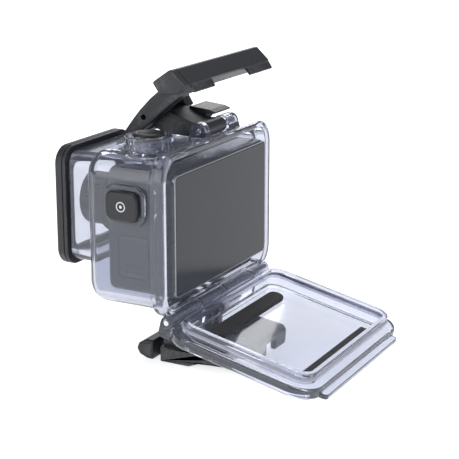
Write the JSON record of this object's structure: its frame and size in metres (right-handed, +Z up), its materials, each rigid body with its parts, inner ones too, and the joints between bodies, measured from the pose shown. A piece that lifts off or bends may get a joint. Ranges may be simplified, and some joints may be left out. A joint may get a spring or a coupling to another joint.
{
  "type": "action camera in dive housing",
  "caption": "Compact action camera in a clear waterproof housing with a hinged rear door, top latch, side and top buttons and a tilting quick-release buckle.",
  "frame": {"origin": "middle of the underside of the quick-release buckle", "axes": "+Z up, +Y towards the camera's rear screen and door, +X towards the side button"},
  "size_m": [0.0767, 0.0972, 0.1054],
  "materials": {
    "clear": "clear polycarbonate",
    "window": "flat polished port glass",
    "black": "moulded satin black",
    "frame_grey": "satin dark grey",
    "screen": "glossy dark glass",
    "lens": "polished dark glass",
    "foam": "closed-cell foam",
    "seal": "translucent silicone",
    "steel": "turned stainless",
    "board": "circuit board",
    "cell": "battery sleeve"
  },
  "bodies": {
    "buckle": {"buckle_body": "black", "lock_nut": "steel"},
    "thumbscrew": {"thumbscrew_knob": "black", "thumbscrew_bolt": "steel"},
    "housing": {"housing_shell": "clear", "port_bezel": "black", "port_window": "window", "latch_pin": "steel", "hinge_pin": "steel", "camera_front_shell": "black", "camera_rear_frame": "frame_grey", "screen_glass": "screen", "display_panel": "board", "main_board": "board", "battery": "cell", "battery_door": "black", "sensor_module": "board", "lens_barrel": "black", "lens_glass": "lens", "front_display_glass": "screen", "memory_card": "black", "usb_door": "black", "side_button_seal": "seal", "side_button_spring": "steel", "shutter_button_seal": "seal", "shutter_button_spring": "steel"},
    "side_button": {"side_button_cap": "black", "side_button_stem": "steel"},
    "camera_side_key": {"camera_side_button": "black"},
    "shutter_button": {"shutter_button_cap": "black", "shutter_button_stem": "steel"},
    "camera_shutter_key": {"camera_shutter_button": "black"},
    "latch_base": {"latch_base_arm": "black", "lever_pin": "steel"},
    "latch_lever": {"latch_lever": "black", "hook_pin": "steel"},
    "latch_hook": {"latch_hook_bar": "black"},
    "lock_slider": {"latch_lock_slider": "black"},
    "door": {"door_frame": "clear", "door_seal": "seal", "foam_strip_lower": "foam", "foam_strip_upper": "foam"}
  },
  "joints": [
    {"name": "mount_tilt", "type": "hinge", "parent": "buckle", "child": "housing", "pos_m": [0, 0.002, 0.016], "axis": [1, 0, 0], "range_deg": [0, 40]},
    {"name": "thumbscrew_turn", "type": "hinge", "parent": "buckle", "child": "thumbscrew", "pos_m": [0, 0.002, 0.016], "axis": [1, 0, 0], "continuous": true},
    {"name": "door_hinge", "type": "hinge", "parent": "housing", "child": "door", "pos_m": [0, 0.012, 0.0248], "axis": [1, 0, 0], "range_deg": [-2, 103]},
    {"name": "side_button_press", "type": "slide", "parent": "housing", "child": "side_button", "axis": [-1, 0, 0], "range_m": [0, 0.0012], "stiffness_N_per_m": 1500, "deforming": ["side_button_spring"]},
    {"name": "camera_side_press", "type": "slide", "parent": "housing", "child": "camera_side_key", "axis": [-1, 0, 0], "range_m": [0, 0.0004]},
    {"name": "shutter_button_press", "type": "slide", "parent": "housing", "child": "shutter_button", "axis": [0, 0, -1], "range_m": [0, 0.0012], "stiffness_N_per_m": 1500, "deforming": ["shutter_button_spring"]},
    {"name": "camera_shutter_press", "type": "slide", "parent": "housing", "child": "camera_shutter_key", "axis": [0, 0, -1], "range_m": [0, 0.0004]},
    {"name": "latch_base_pivot", "type": "hinge", "parent": "housing", "child": "latch_base", "pos_m": [0, 0.008, 0.082], "axis": [1, 0, 0], "range_deg": [-6, 0]},
    {"name": "latch_lever_pivot", "type": "hinge", "parent": "latch_base", "child": "latch_lever", "pos_m": [0, -0.0119, 0.0854], "axis": [1, 0, 0], "range_deg": [-33, 0]},
    {"name": "latch_hook_pivot", "type": "hinge", "parent": "latch_lever", "child": "latch_hook", "pos_m": [0, 0.0064, 0.0987], "axis": [1, 0, 0], "range_deg": [0, 12]},
    {"name": "lock_slide", "type": "slide", "parent": "latch_hook", "child": "lock_slider", "axis": [1, 0, 0], "range_m": [0, 0.0025]}
  ],
  "couplings": [
    {"joint": "camera_side_press", "follows": "side_button_press", "ratio": 0.33333},
    {"joint": "camera_shutter_press", "follows": "shutter_button_press", "ratio": 0.33333}
  ]
}
